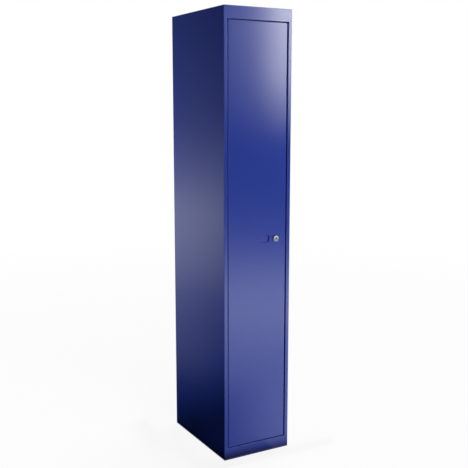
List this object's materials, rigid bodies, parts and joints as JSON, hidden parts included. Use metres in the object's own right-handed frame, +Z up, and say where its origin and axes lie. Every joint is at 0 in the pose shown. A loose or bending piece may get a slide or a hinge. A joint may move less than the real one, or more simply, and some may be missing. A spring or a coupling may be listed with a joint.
{
  "type": "metal locker",
  "caption": "Tall narrow steel locker with a flush hinged door, cam lock, pressed finger pull, hat shelf, coat rail and levelling feet.",
  "frame": {"origin": "on the floor under the middle of the cabinet's footprint, the lock's head not counted", "axes": "+Z up, +Y from the door towards the back panel, +X to the right seen from the front"},
  "size_m": [0.305, 0.465, 1.802],
  "materials": {
    "blue_paint": "satin",
    "zinc_plate": "satin",
    "chrome_tube": "polished",
    "satin_nickel": "satin",
    "brass": "satin",
    "nylon": "matt",
    "black_plastic": "matt",
    "black_rubber": "matt"
  },
  "bodies": {
    "cabinet": {"side_panel_left": "blue_paint", "side_panel_right": "blue_paint", "back_panel": "blue_paint", "top_panel": "blue_paint", "rear_rail": "blue_paint", "header_rail": "blue_paint", "bottom_rail": "blue_paint", "base_frame": "blue_paint", "base_panel": "blue_paint", "hat_shelf": "blue_paint", "shelf_brackets": "blue_paint", "shelf_rivets": "zinc_plate", "coat_rail": "chrome_tube", "rail_cups": "zinc_plate", "hinge_bushes": "nylon", "door_buffers": "black_rubber", "foot_brackets": "zinc_plate", "foot_nuts": "zinc_plate"},
    "door": {"door_skin": "blue_paint", "door_stiffener": "blue_paint", "hinge_pin_top": "blue_paint", "hinge_pin_bottom": "blue_paint", "pin_brackets": "zinc_plate", "lock_housing": "satin_nickel", "lock_nut": "zinc_plate"},
    "plug": {"lock_plug": "satin_nickel", "lock_wafers": "brass", "lock_cam": "zinc_plate", "cam_screw": "zinc_plate"},
    "foot_front_left": {"foot_stem_front_left": "zinc_plate", "foot_pad_front_left": "black_plastic"},
    "foot_front_right": {"foot_stem_front_right": "zinc_plate", "foot_pad_front_right": "black_plastic"},
    "foot_rear_left": {"foot_stem_rear_left": "zinc_plate", "foot_pad_rear_left": "black_plastic"},
    "foot_rear_right": {"foot_stem_rear_right": "zinc_plate", "foot_pad_rear_right": "black_plastic"}
  },
  "joints": [
    {"name": "door_hinge", "type": "hinge", "parent": "cabinet", "child": "door", "pos_m": [-0.126, -0.2225, 0.9], "axis": [0, 0, -1], "range_deg": [0, 110]},
    {"name": "lock_turn", "type": "hinge", "parent": "door", "child": "plug", "pos_m": [0.0825, -0.2285, 0.901], "axis": [0, -1, 0], "range_deg": [0, 90]},
    {"name": "foot_front_left_screw", "type": "slide", "parent": "cabinet", "child": "foot_front_left", "axis": [0, 0, -1], "range_m": [0, 0.012]},
    {"name": "foot_front_right_screw", "type": "slide", "parent": "cabinet", "child": "foot_front_right", "axis": [0, 0, -1], "range_m": [0, 0.012]},
    {"name": "foot_rear_left_screw", "type": "slide", "parent": "cabinet", "child": "foot_rear_left", "axis": [0, 0, -1], "range_m": [0, 0.012]},
    {"name": "foot_rear_right_screw", "type": "slide", "parent": "cabinet", "child": "foot_rear_right", "axis": [0, 0, -1], "range_m": [0, 0.012]}
  ]
}
